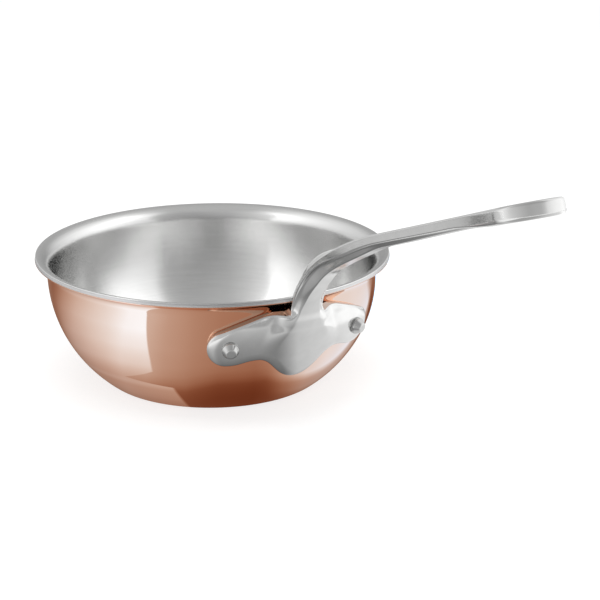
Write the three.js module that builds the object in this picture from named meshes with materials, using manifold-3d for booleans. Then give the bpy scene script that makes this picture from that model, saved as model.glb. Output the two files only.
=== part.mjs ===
// Round curved saute pan: a bowl pressed from three bonded sheets with a flared pouring rim, and one
// cast handle whose winged bracket hugs the bowl and is held by two rivets through all the layers.
// Millimetres, +Z up. The origin is the middle of the flat base and the handle points along +X.
import * as THREE from "three";
import { mergeVertices } from "three/addons/utils/BufferGeometryUtils.js";
import Module from "manifold-3d";

// Bowl, measured on its outer copper face
const RIM_RADIUS = 100;
const HEIGHT = 73.5;
const BELLY_REACH = 36.7;
const BASE_CORNER = 10;
const WALL_BAND = 1;
const LIP_RADIUS = 6.2;
const LIP_TURN = THREE.MathUtils.degToRad(80);
const LIP_TIP = 1.5;

// Sheets of the bowl, from outside to inside
const COPPER_THICKNESS = 0.5;
const CORE_THICKNESS = 1.5;
const STEEL_THICKNESS = 0.5;
const BOND_GAP = 0.05;

// Rivets, laid out on the wall: across it, and down from the bowl's widest line
const RIVET_SPREAD = 38.6;
const RIVET_DROP = 15.8;
const RIVET_DIAMETER = 6;
const RIVET_CLEARANCE = 0.15;
const HEAD_DIAMETER = 9.2;
const HEAD_COLLAR = 1.05;
const HEAD_HEIGHT = 4.2;
const HEAD_TOP_DIAMETER = 5.4;
const TAIL_DIAMETER = 11;
const TAIL_HEIGHT = 2.2;

// Handle bracket, laid out flat: across the wall, and along it from the bowl's widest line
const SEAT_GAP = 0.3;
const PLATE_THICKNESS = 5.2;
const WING_RADIUS = 10.1;
const WING_PAST_RIVET = 1.9;
const WING_BELOW_RIVET = 0.9;
const WING_TOP = 0;
const WING_SLOPE = THREE.MathUtils.degToRad(22);
const ARMPIT_ACROSS = 23;
const ARMPIT_DROP = 24.2;
const TONGUE_TIP_WIDTH = 23.2;
const TONGUE_WIDTH = 31;
const TONGUE_DROP = 38.3;
const CORNER_FILLET = 3;
const HUG_WIDTH = 44;

// Handle spine: it leaves the wall, leans out past the lip, arches over and runs out straight
const LIP_CLEARANCE = 0.3;
const BEND_RADIUS = 8;
const BEND_FILL = 0.7;
const FAIRING = 12;
const LEAN_ANGLE = THREE.MathUtils.degToRad(60);
const LEAN_LENGTH = 18.8;
const ARCH_RADIUS = 75;
const ARCH_ANGLE = THREE.MathUtils.degToRad(33.5);
const SWEEP_RADIUS = 230;
const GRIP_ANGLE = THREE.MathUtils.degToRad(20.2);
const GRIP_LENGTH = 128.5;

// Handle plan: a narrow neck and grip that flare into a broad round end
const NECK_WIDTH = 17.6;
const ARCH_WIDTH = 18.4;
const GRIP_WIDTH = 17;
const WAIST_WIDTH = 17.6;
const WAIST_FROM_END = 83;
const FLARE_WIDTH = 21.6;
const FLARE_FROM_END = 51;
const END_WIDTH = 31.6;
const END_LENGTH = 19.8;
const END_SWELL = 2.6;
const END_FULLNESS = 11;
const END_FLAT = 10.5;

// Handle section: a flange with a keel below it that fades out along the grip, and a hump on the arch
const NECK_EDGE = 2.2;
const ARCH_EDGE = 2.4;
const SWEEP_EDGE = 4.85;
const GRIP_EDGE = 4.6;
const MID_GRIP_EDGE = 4.9;
const SHOULDER_EDGE = 7.6;
const END_EDGE = 8;
const NECK_KEEL = 3;
const ARCH_KEEL = 4.8;
const SWEEP_KEEL = 3.3;
const GRIP_KEEL = 2.4;
const MID_GRIP_KEEL = 1.5;
const NECK_CREST = 10.5;
const NECK_FOOT = 16.6;
const KEEL_CREST = 7;
const KEEL_FOOT = 12;
const HUMP = 4.5;
const HUMP_PAST_RIM = 4;
const HUMP_SQUARENESS = 4;

// Rounded edges: broad on the tongue and the wings' ends, fine on the wings' tops and the flange. The
// change from broad to fine lies between two shares of the wing's edge.
const WING_ROUND = 5;
const TOP_ROUND = 1.4;
const ROUND_CHANGE = [0.45, 0.65];
const FLANGE_ROUND = 0.7;
const END_ROUND = 2.4;
const ROUND_DEPTH = 2.4;
const BACK_ROUND = 0.8;
const END_BACK_ROUND = 1.6;

// Hanging eye near the end of the grip
const EYE_LENGTH = 28;
const EYE_WIDTH = 12;
const EYE_FROM_END = 9;

// Facets
const BOWL_SIDES = 40;
const CORNER_STEPS = 2;
const BELLY_STEPS = 7;
const LIP_STEPS = 4;
const RIVET_SIDES = 16;
const DOME_STEPS = 4;
const TONGUE_STEPS = 6;
const WING_STEPS = 24;
const GRIP_STEPS = 25;
const END_STEPS = 7;
const FACE_STEPS = 8;
const FACE_CROWDING = 1.4;
const ROUND_STEPS = 2;
const EYE_STEPS = 8;
const WELD = 1e-4;

const wasm = await Module();
wasm.setup();

const { lerp, clamp, smoothstep } = THREE.MathUtils;
const coreDepth = COPPER_THICKNESS + BOND_GAP;
const linerDepth = coreDepth + CORE_THICKNESS + BOND_GAP;
const sheetThickness = linerDepth + STEEL_THICKNESS;

// The lip is an arc and a straight tip; the belly arc runs from the wall into the base's corner
const lipOut = LIP_RADIUS * (1 - Math.cos(LIP_TURN)) + LIP_TIP * Math.sin(LIP_TURN);
const lipRise = LIP_RADIUS * Math.sin(LIP_TURN) + LIP_TIP * Math.cos(LIP_TURN);
const wallRadius = RIM_RADIUS - lipOut;
const tipUp = HEIGHT - sheetThickness * Math.sin(LIP_TURN);
const lipUp = tipUp - lipRise;
const bellyUp = lipUp - WALL_BAND;
const flatRadius = wallRadius - BELLY_REACH;
const cornerRise = bellyUp - BASE_CORNER;
const bellyRadius =
  (BELLY_REACH ** 2 + cornerRise ** 2 - BASE_CORNER ** 2) / (2 * (BELLY_REACH - BASE_CORNER));
const bellyMiddle = wallRadius - bellyRadius;
const cornerTurn = Math.atan2(flatRadius - bellyMiddle, cornerRise);
const seatRadius = bellyRadius + SEAT_GAP;

/** A closed geometry as a manifold solid. */
function toSolid(geometry) {
  const bare = geometry.clone();
  bare.deleteAttribute("normal");
  bare.deleteAttribute("uv");
  const merged = mergeVertices(bare, WELD);
  const vertProperties = new Float32Array(merged.attributes.position.array);
  const triVerts = new Uint32Array(merged.index.array);
  return new wasm.Manifold(new wasm.Mesh({ numProp: 3, vertProperties, triVerts }));
}

/** A manifold solid as a geometry with flat facets. */
function toGeometry(solid) {
  const mesh = solid.getMesh();
  const geometry = new THREE.BufferGeometry();
  geometry.setAttribute("position", new THREE.BufferAttribute(mesh.vertProperties, 3));
  geometry.setIndex(new THREE.BufferAttribute(mesh.triVerts, 1));
  const faceted = geometry.toNonIndexed();
  faceted.computeVertexNormals();
  return faceted;
}

/** Cuts each tool out of a geometry. */
function cut(geometry, tools) {
  const solid = tools.reduce((rest, tool) => rest.subtract(toSolid(tool)), toSolid(geometry));
  return toGeometry(solid);
}

/** Points on an arc of the bowl's profile, with the direction that points into the sheet. */
function arcStations(out, up, radius, from, to, steps, inward) {
  return Array.from({ length: steps + 1 }, (_, i) => {
    const angle = lerp(from, to, i / steps);
    const way = new THREE.Vector2(Math.cos(angle), Math.sin(angle));
    const point = new THREE.Vector2(out, up).addScaledVector(way, radius);
    return { point, inside: way.multiplyScalar(inward) };
  });
}

/** Points and inward normals of the bowl's outer face, from the middle of the base to the lip's end. */
function bowlStations() {
  const down = -Math.PI / 2;
  const joint = down + cornerTurn;
  const middle = { point: new THREE.Vector2(0, 0), inside: new THREE.Vector2(0, 1) };
  const corner = arcStations(flatRadius, BASE_CORNER, BASE_CORNER, down, joint, CORNER_STEPS, -1);
  const belly = arcStations(bellyMiddle, bellyUp, bellyRadius, joint, 0, BELLY_STEPS, -1);
  const lipMiddle = wallRadius + LIP_RADIUS;
  const lip = arcStations(lipMiddle, lipUp, LIP_RADIUS, Math.PI, Math.PI - LIP_TURN, LIP_STEPS, 1);
  const tip = { point: new THREE.Vector2(RIM_RADIUS, tipUp), inside: lip.at(-1).inside };
  return [middle, ...corner, ...belly.slice(1), ...lip, tip];
}

/** One sheet of the bowl between two depths below its outer face. */
function sheet(from, to) {
  const stations = bowlStations();
  const face = (depth) => stations.map((s) => s.point.clone().addScaledVector(s.inside, depth));
  const profile = [...face(from), ...face(to).reverse()];
  return new THREE.LatheGeometry(profile, BOWL_SIDES).rotateX(Math.PI / 2);
}

/** A point of the bracket's seat on the wall: how far out, how far up, and the heading of the wall. */
function wallAt(along) {
  const angle = Math.max(0, -along / seatRadius);
  const above = Math.max(0, along);
  const out = bellyMiddle + seatRadius * Math.cos(angle);
  const up = bellyUp - seatRadius * Math.sin(angle) + above;
  return { out, up, heading: Math.PI / 2 - angle };
}

/** How far below the widest line the spine leaves the wall, so that its lean just clears the lip. */
function leaveDropForLip() {
  const away = Math.sin(LEAN_ANGLE) * (RIM_RADIUS - bellyMiddle) - Math.cos(LEAN_ANGLE) * (tipUp - bellyUp);
  const turn = Math.asin((away + LIP_CLEARANCE + BEND_RADIUS) / (seatRadius + BEND_RADIUS));
  return seatRadius * (turn - LEAN_ANGLE);
}

const leaveDrop = leaveDropForLip();
const leaveHeading = wallAt(-leaveDrop).heading;
const stretches = [
  { length: BEND_RADIUS * (leaveHeading - LEAN_ANGLE), end: LEAN_ANGLE },
  { length: LEAN_LENGTH, end: LEAN_ANGLE },
  { length: ARCH_RADIUS * (LEAN_ANGLE - ARCH_ANGLE), end: ARCH_ANGLE },
  { length: SWEEP_RADIUS * (ARCH_ANGLE - GRIP_ANGLE), end: GRIP_ANGLE },
  { length: GRIP_LENGTH, end: GRIP_ANGLE },
];
const leanAt = stretches[0].length - leaveDrop;
const archAt = leanAt + stretches[1].length;
const sweepAt = archAt + stretches[2].length;
const gripAt = sweepAt + stretches[3].length;
const endAt = gripAt + stretches[4].length;

/** A point of the spine: on the wall at first, then along arcs and straights. */
function spineAt(along) {
  let { out, up, heading } = wallAt(Math.min(along, -leaveDrop));
  let left = along + leaveDrop;
  for (const stretch of stretches) {
    if (left <= 0) break;
    const step = Math.min(left, stretch.length);
    const bend = ((stretch.end - heading) * step) / stretch.length;
    const chord = bend === 0 ? step : (step * Math.sin(bend / 2)) / (bend / 2);
    out += chord * Math.cos(heading + bend / 2);
    up += chord * Math.sin(heading + bend / 2);
    heading += bend;
    left -= step;
  }
  return { out, up, heading };
}

/** Bends a point of the flat layout (across, along, height off the seat) to its place on the pan. */
function place(across, along, height) {
  const spine = spineAt(along);
  const wall = wallAt(along);
  const hug = smoothstep(Math.abs(across), NECK_WIDTH / 2, HUG_WIDTH / 2);
  const lean = along < WING_TOP + CORNER_FILLET ? 1 - hug : 1;
  const turnOut = smoothstep(along, -leaveDrop - FAIRING, leanAt + FAIRING);
  const facing = lerp(wall.heading, Math.min(spine.heading, LEAN_ANGLE), turnOut);
  const heading = lerp(wall.heading, facing, lean);
  const out = lerp(wall.out, spine.out, lean) + height * Math.sin(heading);
  const up = lerp(wall.up, spine.up, lean) - height * Math.cos(heading);
  const wrap = 1 - smoothstep(along, 0, sweepAt);
  const turn = across / wallRadius;
  const x = lerp(out, out * Math.cos(turn), wrap);
  const y = lerp(across, out * Math.sin(turn), wrap);
  return new THREE.Vector3(x, y, up);
}

/** A value that passes smoothly through [place, value] stations along the spine. */
function through(stations, along) {
  const next = stations.findIndex(([at]) => at > along);
  if (next === 0) return stations[0][1];
  if (next === -1) return stations.at(-1)[1];
  const [from, start] = stations[next - 1];
  const [to, end] = stations[next];
  return lerp(start, end, smoothstep(along, from, to));
}

const bendAt = (leanAt - leaveDrop) / 2;
const rimAt = (archAt + leanAt) / 2;
const midArchAt = (archAt + sweepAt) / 2;
const midSweepAt = (sweepAt + gripAt) / 2;
const midGripAt = (gripAt + endAt) / 2;
const flareAt = endAt - FLARE_FROM_END;
const shoulderAt = endAt - END_LENGTH;
const edgeStations = [
  [-leaveDrop, PLATE_THICKNESS],
  [archAt, NECK_EDGE],
  [midArchAt, ARCH_EDGE],
  [midSweepAt, SWEEP_EDGE],
  [gripAt, GRIP_EDGE],
  [midGripAt, MID_GRIP_EDGE],
  [shoulderAt, SHOULDER_EDGE],
  [endAt, END_EDGE],
];
const keelStations = [
  [-ARMPIT_DROP, 0],
  [leanAt, NECK_KEEL],
  [rimAt, NECK_KEEL],
  [midArchAt, ARCH_KEEL],
  [midSweepAt, SWEEP_KEEL],
  [gripAt, GRIP_KEEL],
  [midGripAt, MID_GRIP_KEEL],
  [shoulderAt, 0],
];
const crestStations = [
  [-ARMPIT_DROP, TONGUE_WIDTH],
  [rimAt, NECK_CREST],
  [archAt, KEEL_CREST],
];
const footStations = [
  [-ARMPIT_DROP, 2 * ARMPIT_ACROSS],
  [leanAt, NECK_FOOT],
  [rimAt, NECK_FOOT],
  [sweepAt, KEEL_FOOT],
];
const humpStations = [
  [rimAt + HUMP_PAST_RIM, 0],
  [midArchAt, HUMP],
  [midSweepAt, 0],
];
const backRoundStations = [
  [flareAt, BACK_ROUND],
  [shoulderAt, END_BACK_ROUND],
];

/** Height of the handle's front or lower face above its seat. */
function frontHeight(across, along) {
  const crest = through(crestStations, along) / 2;
  const foot = through(footStations, along) / 2;
  const fill = BEND_FILL * (1 - smoothstep(Math.abs(along - bendAt), 0, FAIRING));
  const keel = (through(keelStations, along) + fill) * (1 - smoothstep(Math.abs(across), crest, foot));
  return through(edgeStations, along) + keel;
}

/** Right edge of the tongue, from its tip up to the armpit under the wing. */
function tongueEdge() {
  return new THREE.CubicBezierCurve(
    new THREE.Vector2(0, -TONGUE_DROP),
    new THREE.Vector2(TONGUE_TIP_WIDTH / 2, -TONGUE_DROP),
    new THREE.Vector2(TONGUE_WIDTH / 2, -ARMPIT_DROP),
    new THREE.Vector2(ARMPIT_ACROSS, -ARMPIT_DROP),
  );
}

/** Edge of the right wing, from the armpit round its end and up to the side of the neck. */
function wingEdge() {
  const middle = new THREE.Vector2(RIVET_SPREAD + WING_PAST_RIVET, -RIVET_DROP - WING_BELOW_RIVET);
  const corner = new THREE.Vector2(NECK_WIDTH / 2 + CORNER_FILLET, WING_TOP);
  const low = middle.y - WING_RADIUS;
  const highAngle = Math.PI / 2 - WING_SLOPE;
  const high = new THREE.Vector2(Math.cos(highAngle), Math.sin(highAngle))
    .multiplyScalar(WING_RADIUS)
    .add(middle);
  const pull = (middle.x - ARMPIT_ACROSS) / 2;
  const rise = (high.x - corner.x) / 3;
  const rising = high.y + rise * Math.tan(WING_SLOPE);
  const edge = new THREE.Path();
  edge.moveTo(ARMPIT_ACROSS, -ARMPIT_DROP);
  edge.bezierCurveTo(ARMPIT_ACROSS + pull, -ARMPIT_DROP, middle.x - pull, low, middle.x, low);
  edge.absarc(middle.x, middle.y, WING_RADIUS, -Math.PI / 2, highAngle, false);
  edge.bezierCurveTo(high.x - rise, rising, corner.x + rise, corner.y, corner.x, corner.y);
  edge.quadraticCurveTo(NECK_WIDTH / 2, WING_TOP, NECK_WIDTH / 2, WING_TOP + CORNER_FILLET);
  return edge;
}

/** Right edge of the neck, the arch and the grip. */
function gripEdge() {
  return new THREE.SplineCurve([
    new THREE.Vector2(NECK_WIDTH / 2, WING_TOP + CORNER_FILLET),
    new THREE.Vector2(NECK_WIDTH / 2, rimAt),
    new THREE.Vector2(ARCH_WIDTH / 2, sweepAt),
    new THREE.Vector2(GRIP_WIDTH / 2, gripAt),
    new THREE.Vector2(WAIST_WIDTH / 2, endAt - WAIST_FROM_END),
    new THREE.Vector2(FLARE_WIDTH / 2, flareAt),
    new THREE.Vector2(END_WIDTH / 2, shoulderAt),
  ]);
}

/** Right half of the grip's rounded end. */
function endEdge() {
  return new THREE.CubicBezierCurve(
    new THREE.Vector2(END_WIDTH / 2, shoulderAt),
    new THREE.Vector2(END_WIDTH / 2 + END_SWELL, shoulderAt + END_FULLNESS),
    new THREE.Vector2(END_FLAT, endAt),
    new THREE.Vector2(0, endAt),
  );
}

/** How far in from the outline the front face starts to round off, by place along and in the wing. */
function edgeRound(along, share) {
  const bracket = lerp(WING_ROUND, TOP_ROUND, smoothstep(share, ...ROUND_CHANGE));
  const stations = [
    [leanAt, bracket],
    [rimAt, FLANGE_ROUND],
    [flareAt, FLANGE_ROUND],
    [shoulderAt, END_ROUND],
  ];
  return through(stations, along);
}

/** Points along the right edge of the flat outline, each with its outward way, wing share and round. */
function outlineStations() {
  const points = [
    ...tongueEdge().getSpacedPoints(TONGUE_STEPS),
    ...wingEdge().getSpacedPoints(WING_STEPS).slice(1),
    ...gripEdge().getSpacedPoints(GRIP_STEPS).slice(1),
    ...endEdge().getSpacedPoints(END_STEPS).slice(1),
  ];
  const last = points.length - 1;
  return points.map((point, i) => {
    const before = points[Math.max(0, i - 1)];
    const after = points[Math.min(last, i + 1)];
    const ahead = after.clone().sub(before).normalize();
    const out = new THREE.Vector2(ahead.y, -ahead.x);
    if (i === 0) out.set(0, -1);
    if (i === last) out.set(0, 1);
    const share = clamp((i - TONGUE_STEPS) / WING_STEPS, 0, 1);
    return { point, out, share, round: edgeRound(point.y, share) };
  });
}

/** Even steps from 0 to 1. */
const evenly = (steps) => Array.from({ length: steps + 1 }, (_, i) => i / steps);

/** Half of one section from the middle of the front face round the edge to the middle of the back. */
function halfSection({ point, out, round }, middle) {
  const inset = (by) => {
    const at = point.clone().addScaledVector(out, -by);
    at.x = Math.max(0, at.x);
    return at;
  };
  const rows = evenly(FACE_STEPS).map((step) => step ** FACE_CROWDING);
  const depth = Math.min(round, ROUND_DEPTH);
  const hump = through(humpStations, point.y);
  const backRound = through(backRoundStations, point.y);
  const front = inset(round);
  const crown = frontHeight(front.x, front.y);
  const face = rows.map((row) => {
    const at = middle.clone().lerp(front, row);
    return [at.x, at.y, frontHeight(at.x, at.y)];
  });
  const edge = evenly(ROUND_STEPS).slice(1).map((step) => {
    const turn = (step * Math.PI) / 2;
    const at = inset(round * (1 - Math.sin(turn)));
    return [at.x, at.y, crown - depth * (1 - Math.cos(turn))];
  });
  const side = [point.x, point.y, backRound];
  const back = rows.reverse().map((row) => {
    const at = middle.clone().lerp(inset(backRound), row);
    return [at.x, at.y, -hump * (1 - row ** HUMP_SQUARENESS)];
  });
  return [...face, ...edge, side, ...back];
}

/** The handle as a tube of sections, each one ruled from the spine out to the flat outline. */
function handleBlank() {
  const stations = outlineStations();
  const ownMiddle = ({ point, out, round }) => point.y - round * out.y;
  const armpit = ownMiddle(stations.findLast((s) => s.share === 0));
  const neck = ownMiddle(stations.find((s) => s.share === 1));
  const rings = stations.map((station) => {
    const inWing = station.share > 0 && station.share < 1;
    const along = inWing ? lerp(armpit, neck, station.share) : ownMiddle(station);
    const right = halfSection(station, new THREE.Vector2(0, along));
    const left = right.slice(1, -1).reverse().map(([x, y, height]) => [-x, y, height]);
    return [...right, ...left].map((spot) => place(...spot));
  });
  return tube(rings);
}

/** Closes a row of equal rings into one surface; the first and last ring lie flat on themselves. */
function tube(rings) {
  const count = rings[0].length;
  const positions = rings.flat().flatMap((p) => [p.x, p.y, p.z]);
  const index = [];
  for (let i = 0; i + 1 < rings.length; i++) {
    for (let j = 0; j < count; j++) {
      const here = i * count;
      const next = here + count;
      const k = (j + 1) % count;
      index.push(here + j, here + k, next + k);
      index.push(here + j, next + k, next + j);
    }
  }
  const geometry = new THREE.BufferGeometry();
  geometry.setAttribute("position", new THREE.Float32BufferAttribute(positions, 3));
  geometry.setIndex(index);
  return geometry;
}

/** A frame on the wall at a rivet: its local +Y points out of the bowl along the rivet. */
function rivetFrame(side) {
  const wall = wallAt(-RIVET_DROP);
  const turn = (side * RIVET_SPREAD) / wallRadius;
  const axis = new THREE.Vector3(0, 0, 1);
  const position = new THREE.Vector3(wall.out, 0, wall.up).applyAxisAngle(axis, turn);
  const outward = new THREE.Vector3(Math.sin(wall.heading), 0, -Math.cos(wall.heading));
  outward.applyAxisAngle(axis, turn);
  const rotation = new THREE.Quaternion().setFromUnitVectors(new THREE.Vector3(0, 1, 0), outward);
  return new THREE.Matrix4().compose(position, rotation, new THREE.Vector3(1, 1, 1));
}

/** The hole that a rivet passes through, long enough for every layer. */
function rivetHole(side) {
  const reach = 2 * (sheetThickness + PLATE_THICKNESS + HEAD_HEIGHT);
  const radius = RIVET_DIAMETER / 2 + RIVET_CLEARANCE;
  return new THREE.CylinderGeometry(radius, radius, reach, RIVET_SIDES).applyMatrix4(rivetFrame(side));
}

/** A rivet: a flat-topped cone outside, its shank, and a low dome formed inside the bowl. */
function rivet(side) {
  const outside = frontHeight(RIVET_SPREAD, -RIVET_DROP) + RIVET_CLEARANCE;
  const hollow = TAIL_DIAMETER ** 2 / (8 * (bellyRadius - sheetThickness));
  const facet = wallRadius * (1 - Math.cos(Math.PI / BOWL_SIDES));
  const inside = -SEAT_GAP - sheetThickness - hollow - facet - RIVET_CLEARANCE;
  const dome = evenly(DOME_STEPS).map((step) => {
    const angle = (step * Math.PI) / 2;
    return new THREE.Vector2((TAIL_DIAMETER / 2) * Math.sin(angle), inside - TAIL_HEIGHT * Math.cos(angle));
  });
  const profile = [
    ...dome,
    new THREE.Vector2(RIVET_DIAMETER / 2, inside),
    new THREE.Vector2(RIVET_DIAMETER / 2, outside),
    new THREE.Vector2(HEAD_DIAMETER / 2, outside),
    new THREE.Vector2(HEAD_DIAMETER / 2, outside + HEAD_COLLAR),
    new THREE.Vector2(HEAD_TOP_DIAMETER / 2, outside + HEAD_HEIGHT),
    new THREE.Vector2(0, outside + HEAD_HEIGHT),
  ];
  return new THREE.LatheGeometry(profile, RIVET_SIDES).applyMatrix4(rivetFrame(side));
}

/** The slot with round ends that the pan hangs by, square to the grip. */
function hangingEye() {
  const radius = EYE_WIDTH / 2;
  const half = EYE_LENGTH / 2 - radius;
  const depth = 4 * END_EDGE;
  const shape = new THREE.Shape();
  shape.absarc(half, 0, radius, -Math.PI / 2, Math.PI / 2, false);
  shape.absarc(-half, 0, radius, Math.PI / 2, (3 * Math.PI) / 2, false);
  const slot = new THREE.ExtrudeGeometry(shape, { depth, bevelEnabled: false, curveSegments: EYE_STEPS });
  const middle = spineAt(endAt - EYE_FROM_END - EYE_LENGTH / 2);
  slot.translate(0, 0, -depth / 2).rotateY(-GRIP_ANGLE).translate(middle.out, 0, middle.up);
  return slot;
}

const copper = new THREE.MeshStandardMaterial({ color: "#b87a5c", metalness: 1, roughness: 0.12 });
const aluminium = new THREE.MeshStandardMaterial({ color: "#c9cacb", metalness: 1, roughness: 0.4 });
const satinSteel = new THREE.MeshStandardMaterial({ color: "#c6c7c6", metalness: 1, roughness: 0.35 });
const castSteel = new THREE.MeshStandardMaterial({ color: "#c4c5c4", metalness: 1, roughness: 0.25 });

const pan = new THREE.Group();

/** Adds one named piece to the pan. */
function addPiece(name, geometry, material) {
  const mesh = new THREE.Mesh(geometry, material);
  mesh.name = name;
  pan.add(mesh);
}

const rivetSides = { rivet_left: -1, rivet_right: 1 };
const holes = Object.values(rivetSides).map(rivetHole);
addPiece("copper_shell", cut(sheet(0, COPPER_THICKNESS), holes), copper);
addPiece("aluminium_core", cut(sheet(coreDepth, coreDepth + CORE_THICKNESS), holes), aluminium);
addPiece("steel_liner", cut(sheet(linerDepth, sheetThickness), holes), satinSteel);
addPiece("handle", cut(handleBlank(), [...holes, hangingEye()]), castSteel);
Object.entries(rivetSides).forEach(([name, side]) => addPiece(name, rivet(side), castSteel));

export default pan;
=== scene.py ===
"""Round curved saute pan, dressed for the studio: a copper bowl lined with steel, and a riveted handle."""
import logging
import math
from collections.abc import Sequence
from dataclasses import dataclass, field
from enum import Enum
from functools import cached_property

import bmesh
import bpy
import numpy as np
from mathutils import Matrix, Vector


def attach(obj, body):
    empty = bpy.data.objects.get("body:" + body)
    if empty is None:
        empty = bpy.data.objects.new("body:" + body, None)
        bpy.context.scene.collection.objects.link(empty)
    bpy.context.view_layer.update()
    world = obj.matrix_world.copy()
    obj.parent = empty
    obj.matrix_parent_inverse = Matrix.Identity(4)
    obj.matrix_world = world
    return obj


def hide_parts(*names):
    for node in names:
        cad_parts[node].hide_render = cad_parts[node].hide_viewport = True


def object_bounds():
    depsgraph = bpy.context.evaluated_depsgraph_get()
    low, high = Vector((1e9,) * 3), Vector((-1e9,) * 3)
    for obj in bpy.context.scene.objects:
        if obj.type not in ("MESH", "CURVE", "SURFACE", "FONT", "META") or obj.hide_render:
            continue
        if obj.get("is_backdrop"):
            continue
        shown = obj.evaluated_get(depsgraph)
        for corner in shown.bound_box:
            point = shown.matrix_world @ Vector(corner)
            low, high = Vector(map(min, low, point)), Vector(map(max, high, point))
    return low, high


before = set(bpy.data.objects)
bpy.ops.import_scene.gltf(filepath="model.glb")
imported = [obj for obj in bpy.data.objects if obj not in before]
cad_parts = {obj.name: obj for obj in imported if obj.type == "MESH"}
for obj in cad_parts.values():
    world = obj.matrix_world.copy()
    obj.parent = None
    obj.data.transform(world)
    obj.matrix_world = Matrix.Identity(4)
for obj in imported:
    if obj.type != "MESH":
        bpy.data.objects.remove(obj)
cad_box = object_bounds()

log = logging.getLogger("saute_pan")

MM = 0.001
WELD = 1e-6
BODY = "root"
UP = np.array([0.0, 0.0, 1.0])
Array = np.ndarray
Pair = tuple[float, float]
Stations = Sequence[Pair]
Triple = tuple[float, float, float]
Colour = Triple
Piece = bpy.types.Object
Socket = bpy.types.NodeSocket
Inputs = dict[str | int, object]


class Slot(Enum):
    """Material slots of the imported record."""

    COPPER = "copper"
    ALUMINIUM = "aluminium"
    SATIN_STEEL = "satin_steel"
    CAST_STEEL = "cast_steel"
    RIVET_STEEL = "rivet_steel"


class Side(Enum):
    """Which wing of the bracket a rivet goes through, with the sign of its place across the pan."""

    LEFT = -1
    RIGHT = 1


class FallsOn(Enum):
    """Whether a light falls on some pieces only or on all the others."""

    ONLY = "INCLUDE"
    ALL_BUT = "EXCLUDE"


def smooth_step(value: Array, low: Array, high: Array) -> Array:
    """Ease from 0 at low to 1 at high along the cubic 3s^2 - 2s^3, flat at both ends.

    Args:
        value: Where to read the curve.
        low: Value at which it leaves 0.
        high: Value at which it reaches 1.

    Returns:
        Shares from 0 to 1.
    """
    share = np.clip((value - low) / (high - low), 0.0, 1.0)
    return share * share * (3.0 - 2.0 * share)


def blend(start: Array, end: Array, share: Array) -> Array:
    """Go straight from start to end by a share from 0 to 1."""
    return start + (end - start) * share


def through(stations: Stations, along: Array) -> Array:
    """Pass smoothly through values at places, easing by smooth_step from each one to the next.

    Args:
        stations: Pairs of place and value, in rising order of place.
        along: Places to read.

    Returns:
        Values at those places, level beyond the first and the last station.
    """
    places, values = np.array(stations).T
    index = np.clip(np.searchsorted(places, along, side="right") - 1, 0, len(places) - 2)
    share = smooth_step(along, places[index], places[index + 1])
    return blend(values[index], values[index + 1], share)


def bezier(points: Sequence[Pair], steps: int = 200) -> Array:
    """Draw a curve as the sum of its control points, each times its Bernstein polynomial.

    Args:
        points: Control points.
        steps: Steps along the curve.

    Returns:
        Points on the curve, from the first control point to the last.
    """
    share = np.linspace(0.0, 1.0, steps + 1)[:, None]
    degree = len(points) - 1
    order = np.arange(degree + 1)
    counts = np.array([math.comb(degree, k) for k in order])
    return (counts * share**order * (1.0 - share) ** (degree - order)) @ np.array(points, dtype=float)


def arc(middle: Pair, radius: float, start: float, end: float, steps: int = 200) -> Array:
    """Draw an arc: its middle plus the radius times the cosine and sine of an evenly turning angle.

    Args:
        middle: Centre of the arc.
        radius: Its radius.
        start: First angle in radians.
        end: Last angle in radians.
        steps: Steps along it.

    Returns:
        Points on the arc.
    """
    angle = np.linspace(start, end, steps + 1)
    return np.array(middle) + radius * np.stack([np.cos(angle), np.sin(angle)], axis=1)


def catmull_rom(points: Sequence[Pair], steps: int = 100) -> Array:
    """Join points by cubics whose slope at each point is that from one neighbour to the other, by length.

    Args:
        points: Points that the curve passes through.
        steps: Steps between each two points.

    Returns:
        Points on the curve.
    """
    knots = np.array(points, dtype=float)
    gaps = np.linalg.norm(np.diff(knots, axis=0), axis=1)[:, None, None]
    padded = np.vstack([knots[:1], knots, knots[-1:]])
    reach = np.linalg.norm(np.diff(padded, axis=0), axis=1)
    slopes = (padded[2:] - padded[:-2]) / (reach[1:] + reach[:-1])[:, None]
    t = np.linspace(0.0, 1.0, steps, endpoint=False)[None, :, None]
    start, end = knots[:-1, None], knots[1:, None]
    leave, arrive = slopes[:-1, None] * gaps, slopes[1:, None] * gaps
    cubic = (2 * t**3 - 3 * t**2 + 1) * start + (t**3 - 2 * t**2 + t) * leave
    cubic = cubic + (3 * t**2 - 2 * t**3) * end + (t**3 - t**2) * arrive
    return np.vstack([cubic.reshape(-1, knots.shape[1]), knots[-1:]])


def travelled(points: Array) -> Array:
    """Give the length of a line up to each of its points."""
    return np.concatenate([[0.0], np.cumsum(np.linalg.norm(np.diff(points, axis=0), axis=1))])


def spaced(points: Array, steps: int) -> Array:
    """Set points anew along a line at equal steps of its length.

    Args:
        points: Points of the line.
        steps: Number of steps.

    Returns:
        Evenly spaced points on the line, with the same ends.
    """
    lengths = travelled(points)
    places = np.linspace(0.0, lengths[-1], steps + 1)
    return np.stack([np.interp(places, lengths, column) for column in points.T], axis=1)


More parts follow.
